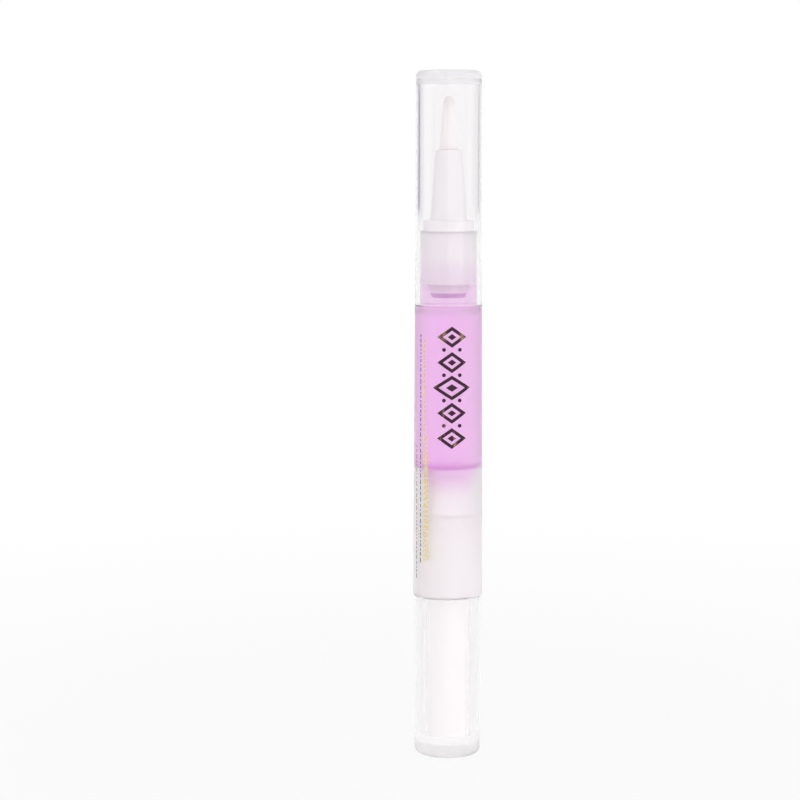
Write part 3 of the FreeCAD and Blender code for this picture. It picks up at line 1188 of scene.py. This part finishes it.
@dataclass
class Ornament(SubAssembly):
    """Foil stamped on the barrel: a chain of lozenges and dots, and columns of fine dashes beside it."""

    barrel: Barrel
    lift: float = 0.015
    sunk: float = 0.03
    step: float = 0.25
    chain_across: float = 0.55
    chain_top: float = 80.7
    chain_pitch: float = 4.75
    small_lozenge: Place = (2.25, 1.6)
    large_lozenge: Place = (3.1, 1.95)
    lozenge_count: int = 5
    stroke: float = 0.6
    heart_share: float = 0.36
    dot_radius: float = 0.36
    dot_spread: float = 1.5
    dot_sides: int = 14
    ring_shares: Place = (0.5, 1.0)
    dash_lengths: Place = (0.3, 1.0)
    dash_gaps: Place = (0.22, 0.42)
    brown_columns: tuple[Column, ...] = ((-6.1, 38.0, 81.0, 0.2), (-7.5, 35.0, 60.0, 0.16))
    gold_columns: tuple[Column, ...] = (
        (-5.1, 38.5, 80.0, 0.3),
        (-4.7, 38.5, 62.0, 0.36),
        (-4.3, 38.5, 58.0, 0.32),
    )
    seed: int = 7

    def stand(self, mesh: bmesh.types.BMesh, place: Place, height: float) -> bmesh.types.BMVert:
        """Set a vertex over the barrel's skin.

        Args:
            mesh: the foil's bmesh.
            place: the way round from the front, along the skin, and the height on the pen.
            height: how far it stands off the skin.

        Returns:
            The vertex.
        """
        across, z = place
        radius = self.barrel.radius_at(z)
        angle = across / radius
        reach = radius + height
        return mesh.verts.new((reach * math.sin(angle) * MM, -reach * math.cos(angle) * MM, z * MM))

    def finely(self, path: Sequence[Place], closed: bool) -> list[Vector]:
        """Divide a path into steps that follow the barrel's curve.

        Args:
            path: the path's corners.
            closed: whether it returns to its first corner.

        Returns:
            The points along it.
        """
        corners = [Vector(corner) for corner in path]
        points = []
        for here, there in zip(corners, corners[1:] + corners[:1] if closed else corners[1:]):
            count = max(1, math.ceil((there - here).length / self.step))
            points += [here.lerp(there, i / count) for i in range(count)]
        return points if closed else [*points, corners[-1]]

    def line(
        self, mesh: bmesh.types.BMesh, path: Sequence[Place], width: float, closed: bool = False
    ) -> None:
        """Stamp one line.

        Args:
            mesh: the foil's bmesh.
            path: the line's corners.
            width: the line's width.
            closed: whether it returns to its first corner.
        """
        points = self.finely(path, closed)
        count = len(points)
        rings = []
        for i, point in enumerate(points):
            ahead = points[(i + 1) % count] - point if closed or i + 1 < count else point - points[i - 1]
            back = point - points[i - 1] if closed or i > 0 else ahead
            side = Vector((-ahead.y, ahead.x)).normalized()
            mitre = (side + Vector((-back.y, back.x)).normalized()).normalized()
            mitre *= width / 2 / mitre.dot(side)
            edges = ((mitre, -self.sunk), (mitre, self.lift), (-mitre, self.lift), (-mitre, -self.sunk))
            rings.append([self.stand(mesh, point + offset, height) for offset, height in edges])
        following = rings[1:] + rings[:1] if closed else rings[1:]
        for lower, upper in zip(rings, following):
            bridge(mesh, lower, upper)
        if not closed:
            mesh.faces.new(rings[0])
            mesh.faces.new(rings[-1])

    def spot(self, mesh: bmesh.types.BMesh, middle: Place, corners: Sequence[Place]) -> None:
        """Stamp one solid mark.

        Args:
            mesh: the foil's bmesh.
            middle: its middle.
            corners: its corners, as seen from the middle.
        """
        centre = Vector(middle)
        edge = self.finely(corners, True)
        rims = []
        for height in (self.lift, -self.sunk):
            rings = [[self.stand(mesh, centre, height)]]
            for share in self.ring_shares:
                rings.append([self.stand(mesh, centre + point * share, height) for point in edge])
            for inner, outer in zip(rings, rings[1:]):
                bridge(mesh, inner, outer)
            rims.append(rings[-1])
        bridge(mesh, *rims)

    def lozenge(self, half: Place) -> list[Place]:
        """Give a lozenge's corners about its middle."""
        wide, tall = half
        return [(wide, 0.0), (0.0, tall), (-wide, 0.0), (0.0, -tall)]

    def dot(self) -> list[Place]:
        """Give a dot's corners about its middle."""
        ways = [TURN * i / self.dot_sides for i in range(self.dot_sides)]
        return [(self.dot_radius * math.cos(a), self.dot_radius * math.sin(a)) for a in ways]

    def chain(self) -> bpy.types.Object:
        """Stamp the lozenges, the solid heart in each, and the dots between them.

        Returns:
            The chain.
        """
        mesh = bmesh.new()
        for i in range(self.lozenge_count):
            z = self.chain_top - i * self.chain_pitch
            middle = Vector((self.chain_across, z))
            half = self.large_lozenge if i == self.lozenge_count // 2 else self.small_lozenge
            self.line(mesh, [middle + Vector(c) for c in self.lozenge(half)], self.stroke, closed=True)
            self.spot(mesh, middle, [Vector(c) * self.heart_share for c in self.lozenge(half)])
            if i + 1 < self.lozenge_count:
                for side in (-1, 1):
                    beside = (self.chain_across + side * self.dot_spread, z - self.chain_pitch / 2)
                    self.spot(mesh, beside, self.dot())
        return mesh_object("barrel_lozenges", mesh)

    def dashes(self, name: str, columns: Sequence[Column]) -> bpy.types.Object:
        """Stamp columns of short dashes.

        Args:
            name: the object's name.
            columns: the way round, the lowest and the highest point, and the width of each column.

        Returns:
            The object.
        """
        draw = random.Random(self.seed)
        mesh = bmesh.new()
        for across, low, high, width in columns:
            top = high
            while top > low:
                length = draw.uniform(*self.dash_lengths)
                self.line(mesh, [(across, top), (across, top - length)], width)
                top -= length + draw.uniform(*self.dash_gaps)
        return mesh_object(name, mesh)

    def build(self) -> list[bpy.types.Object]:
        """Stamp and dress the ornament.

        Returns:
            The chain, the brown dashes and the gold ones.
        """
        chain = self.chain()
        brown = self.dashes("barrel_brown_dashes", self.brown_columns)
        gold = self.dashes("barrel_gold_dashes", self.gold_columns)
        stamped = ((chain, BROWN_FOIL), (brown, BROWN_FOIL), (gold, GOLD_FOIL))
        return [self.place(piece, foil, Body.BARREL) for piece, foil in stamped]


@dataclass
class Drive(SubAssembly):
    """Piston, and the screw, nut and click rings that push it."""

    low: float = 46.68
    rim: float = 55.5
    radius: float = 5.16
    waist_radius: float = 4.56
    land: float = 1.2
    ramp: float = 0.5
    cup_rim_radius: float = 4.81
    cup_floor_radius: float = 2.6
    cup_floor_z: float = 52.3
    cup_floor_round: float = 1.0
    socket_low: float = 48.4
    socket_top: float = 50.8
    socket_radius: float = 1.65
    socket_lip_radius: float = 1.25

    def build(self) -> list[bpy.types.Object]:
        """Build the piston and dress the pieces behind it.

        Returns:
            The piston, the screw, the nut and the two click rings.
        """
        piston = lathe(
            "piston_body",
            [
                (self.socket_lip_radius, self.low, 0),
                (self.radius, self.low, 0),
                (self.radius, self.low + self.land, 0),
                (self.waist_radius, self.low + self.land + self.ramp, 0),
                (self.waist_radius, self.rim - self.land - self.ramp, 0),
                (self.radius, self.rim - self.land, 0),
                (self.radius, self.rim, 0),
                (self.cup_rim_radius, self.rim, 0),
                (self.cup_floor_radius, self.cup_floor_z, self.cup_floor_round),
                (0, self.cup_floor_z, 0),
                (0, self.socket_top, 0),
                (self.socket_radius, self.socket_top, 0),
                (self.socket_radius, self.socket_low, 0),
                (self.socket_lip_radius, self.socket_low, 0),
            ],
        )
        self.place(piston, PISTON_PLASTIC, Body.PISTON, Slot.PISTON, ["piston"])
        solids = ("lead_screw", "thread_nut", "ratchet_ring", "click_ring")
        return [piston, *(self.dress(node, WHITE_PLASTIC) for node in solids)]


@dataclass
class OilFill(SubAssembly):
    """The oil, from the piston's cup up into the neck; in the pen its foot rises with the piston, but
    this column is set on no body and stays still.
    """

    barrel: Barrel
    nozzle: Nozzle
    drive: Drive
    wetting: float = 0.03
    film: float = 0.05

    def build(self) -> list[bpy.types.Object]:
        """Build and dress the oil, a hair into the walls that it wets so that no air shows between.

        Returns:
            The oil.
        """
        barrel, nozzle, drive = self.barrel, self.nozzle, self.drive
        wet_bore = barrel.bore_radius + self.wetting
        wet_neck = barrel.neck_bore + self.wetting
        wet_nose = nozzle.nose_low + self.wetting
        cup_floor_z = drive.cup_floor_z + self.film
        cup_rim_z = drive.rim + self.film
        column = lathe(
            "oil_column",
            [
                (0, cup_floor_z, 0),
                (drive.cup_floor_radius, cup_floor_z, drive.cup_floor_round),
                (drive.cup_rim_radius, cup_rim_z, 0),
                (wet_bore, cup_rim_z, 0),
                (wet_bore, barrel.bore_top, 0),
                (wet_neck, barrel.neck_bore_low, 0),
                (wet_neck, nozzle.shank_low, 0),
                (nozzle.nose_radius - self.wetting, nozzle.shank_low, 0),
                (nozzle.nose_tip_radius - self.wetting, wet_nose, nozzle.nose_tip_round),
                (nozzle.channel_radius, wet_nose, 0),
                (nozzle.channel_radius, nozzle.neck_top, 0),
                (0, nozzle.neck_top, 0),
            ],
        )
        self.cover(column, OIL, Slot.OIL, ["reservoir_oil", "neck_oil"])
        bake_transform(column)
        return [column]


@dataclass
class Knob(SubAssembly):
    """Clear knob with a solid foot, round the white driver."""

    length: float = 30.85
    floor: float = 3.85
    radius: float = 6.44
    foot_radius: float = 6.30
    bore_radius: float = 4.05
    foot_round: float = 1.1
    rim_round: float = 0.12

    def build(self) -> list[bpy.types.Object]:
        """Build the shell, which stands a hair off the driver, and dress the driver.

        Returns:
            The shell and the driver.
        """
        shell = lathe(
            "knob_clear_shell",
            [
                (0, 0, 0),
                (self.foot_radius, 0, self.foot_round),
                (self.radius, self.length, self.rim_round),
                (self.bore_radius, self.length, 0),
                (self.bore_radius, self.floor, 0),
                (0, self.floor, 0),
            ],
        )
        self.place(shell, CLEAR_KNOB, Body.KNOB, Slot.CLEAR, ["knob_shell"])
        return [shell, self.dress("driver_sleeve", WHITE_PLASTIC)]


@dataclass(frozen=True)
class SoftBox:
    """A square lamp that faces the middle of the pen."""

    name: str
    place: Corner
    side: float
    power: float
    aim_z: float = 65.0

    def hang(self) -> bpy.types.Object:
        """Hang the lamp.

        Returns:
            The lamp.
        """
        data = bpy.data.lights.new(self.name, "AREA")
        data.size = self.side * MM
        data.energy = self.power
        lamp = bpy.data.objects.new(self.name, data)
        lamp.location = Vector(self.place) * MM
        aim = Vector((0, 0, self.aim_z)) * MM - lamp.location
        lamp.rotation_euler = aim.to_track_quat("-Z", "Y").to_euler()
        bpy.context.scene.collection.objects.link(lamp)
        return lamp


KEY = SoftBox("key", (260, -540, 420), 900, 1.0)
FILL = SoftBox("fill", (-480, -380, 300), 600, 0.16)


@dataclass
class Studio:
    """Pale floor, soft light, white surroundings and the camera."""

    floor_half: float = 3000.0
    floor_gap: float = 0.02
    ground: Colour = (0.9, 0.89, 0.89)
    pale_near: float = 20.0
    pale_far: float = 300.0
    least_pale: float = 0.84
    lens: float = 94.5
    sensor: float = 36.0
    distance: float = 395.4
    height: float = 114.65
    sideways: float = -9.13
    pitch: float = 6.7
    roll: float = 0.01
    left_flag: Colour = (0.34, 0.31, 0.42)
    right_flag: Colour = (0.66, 0.65, 0.66)
    front_room: Colour = (0.5, 0.49, 0.5)
    ambient: Colour = (0.74, 0.73, 0.74)
    flag_bearings: tuple[float, float, float, float] = (24.0, 40.0, 62.0, 85.0)
    front_bearings: Place = (95.0, 125.0)
    low_rises: Place = (0.45, 0.75)
    lens_near: float = 10.0

    def floor(self) -> bpy.types.Object:
        """Lay the floor, which shows the camera a pale ground and keeps the pen's shadow.

        Returns:
            The floor.
        """
        mesh = bmesh.new()
        half = self.floor_half * MM
        corners = ((-half, -half), (half, -half), (half, half), (-half, half))
        mesh.faces.new([mesh.verts.new((x, y, -self.floor_gap * MM)) for x, y in corners])
        floor = mesh_object("studio_floor", mesh)
        material, canvas, output = new_material("studio_floor")
        path = canvas.add("LightPath").outputs
        in_glass = canvas.math("MAXIMUM", path["Is Glossy Ray"], path["Is Transmission Ray"])
        place = canvas.add("TexCoord").outputs["Object"]
        away = canvas.add("VectorMath", {"operation": "LENGTH"})
        canvas.feed(away.inputs[0], place)
        near, far = self.pale_near * MM, self.pale_far * MM
        paleness = canvas.remap(away.outputs["Value"], near, far, self.least_pale, 1.0)
        ground = canvas.add("BsdfDiffuse", Color=(*self.ground, 1.0))
        white = canvas.add("Emission", Color=(*WHITE, 1.0), Strength=1.0)
        bare = canvas.math("MULTIPLY", path["Is Camera Ray"], paleness)
        mixed = canvas.add("MixShader", Fac=canvas.math("MAXIMUM", bare, in_glass))
        canvas.feed(mixed.inputs[1], ground.outputs[0])
        canvas.feed(mixed.inputs[2], white.outputs[0])
        canvas.feed(output.inputs["Surface"], mixed.outputs[0])
        floor.data.materials.append(material)
        return floor

    def surroundings(self) -> bpy.types.World:
        """Make the white background, and the greyer sides of the room that glass and gloss mirror.

        Returns:
            The world.
        """
        world = bpy.data.worlds.new("studio")
        bpy.context.scene.world = world
        world.use_nodes = True
        world.node_tree.nodes.clear()
        canvas = Canvas(world.node_tree)
        way = canvas.add("SeparateXYZ", Vector=canvas.add("TexCoord").outputs["Generated"])
        bearing = canvas.math("ARCTAN2", way.outputs["X"], way.outputs["Y"])
        low = canvas.remap(way.outputs["Z"], *self.low_rises, 1.0, 0.0)
        room = WHITE
        flag_edges = [math.radians(degrees) for degrees in self.flag_bearings]
        for side, shade in ((-1, self.left_flag), (1, self.right_flag)):
            turned = canvas.math("MULTIPLY", bearing, side)
            starts = canvas.remap(turned, *flag_edges[:2], 0.0, 1.0)
            ends = canvas.remap(turned, *flag_edges[2:], 1.0, 0.0)
            flag = canvas.math("MULTIPLY", canvas.math("MULTIPLY", starts, ends), low)
            room = canvas.blend(flag, room, shade)
        turned = canvas.math("ABSOLUTE", bearing)
        front_edges = [math.radians(degrees) for degrees in self.front_bearings]
        front = canvas.remap(turned, *front_edges, 0.0, 1.0)
        room = canvas.blend(canvas.math("MULTIPLY", front, low), room, self.front_room)
        path = canvas.add("LightPath").outputs
        mirrored = canvas.math("GREATER_THAN", path["Glossy Depth"], 0.5)
        room = canvas.blend(mirrored, WHITE, room)
        seen = canvas.math("MAXIMUM", path["Is Glossy Ray"], path["Is Transmission Ray"])
        direct = canvas.math("LESS_THAN", path["Diffuse Depth"], 0.5)
        lighting = canvas.blend(canvas.math("MULTIPLY", seen, direct), self.ambient, room)
        shown = canvas.blend(path["Is Camera Ray"], lighting, WHITE)
        background = canvas.add("Background", Color=shown, Strength=1.0)
        output = canvas.add("OutputWorld")
        canvas.feed(output.inputs["Surface"], background.outputs[0])
        return world

    def camera(self) -> bpy.types.Object:
        """Set the camera at the photograph's angle.

        Returns:
            The camera.
        """
        data = bpy.data.cameras.new("photo_camera")
        data.lens = self.lens
        data.sensor_width = self.sensor
        data.clip_start = self.lens_near * MM
        camera = bpy.data.objects.new("photo_camera", data)
        place = Vector((self.sideways, -self.distance, self.height)) * MM
        tilt = Matrix.Rotation(math.radians(90 - self.pitch), 4, "X")
        lean = Matrix.Rotation(math.radians(self.roll), 4, "Z")
        camera.matrix_world = Matrix.Translation(place) @ tilt @ lean
        bpy.context.scene.collection.objects.link(camera)
        bpy.context.scene.camera = camera
        return camera

    def build(self) -> None:
        """Set up the whole studio."""
        bpy.context.scene.view_settings.view_transform = "Standard"
        self.floor()
        self.surroundings()
        for lamp in (KEY, FILL):
            lamp.hang()
        paths = bpy.context.scene.cycles
        paths.max_bounces = 32
        paths.blur_glossy = 0.0
        paths.diffuse_bounces = 8
        paths.glossy_bounces = 12
        paths.transmission_bounces = 32
        self.camera()


def main() -> None:
    """Build the pen's classes in order and report each piece."""
    logging.basicConfig(level=logging.INFO, format="%(name)s: %(message)s")
    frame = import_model()
    wardrobe = Wardrobe()
    barrel = Barrel(frame, wardrobe)
    nozzle = Nozzle(frame, wardrobe)
    drive = Drive(frame, wardrobe)
    assemblies = [
        Cap(frame, wardrobe),
        Brush(frame, wardrobe),
        nozzle,
        barrel,
        Ornament(frame, wardrobe, barrel),
        OilFill(frame, wardrobe, barrel, nozzle, drive),
        drive,
        Knob(frame, wardrobe),
    ]
    for assembly in assemblies:
        for piece in assembly.build():
            kind = type(assembly).__name__
            LOG.info("%s: %s, %d faces", kind, piece.name, len(piece.data.polygons))
    Studio().build()


if __name__ == "__main__":
    main()
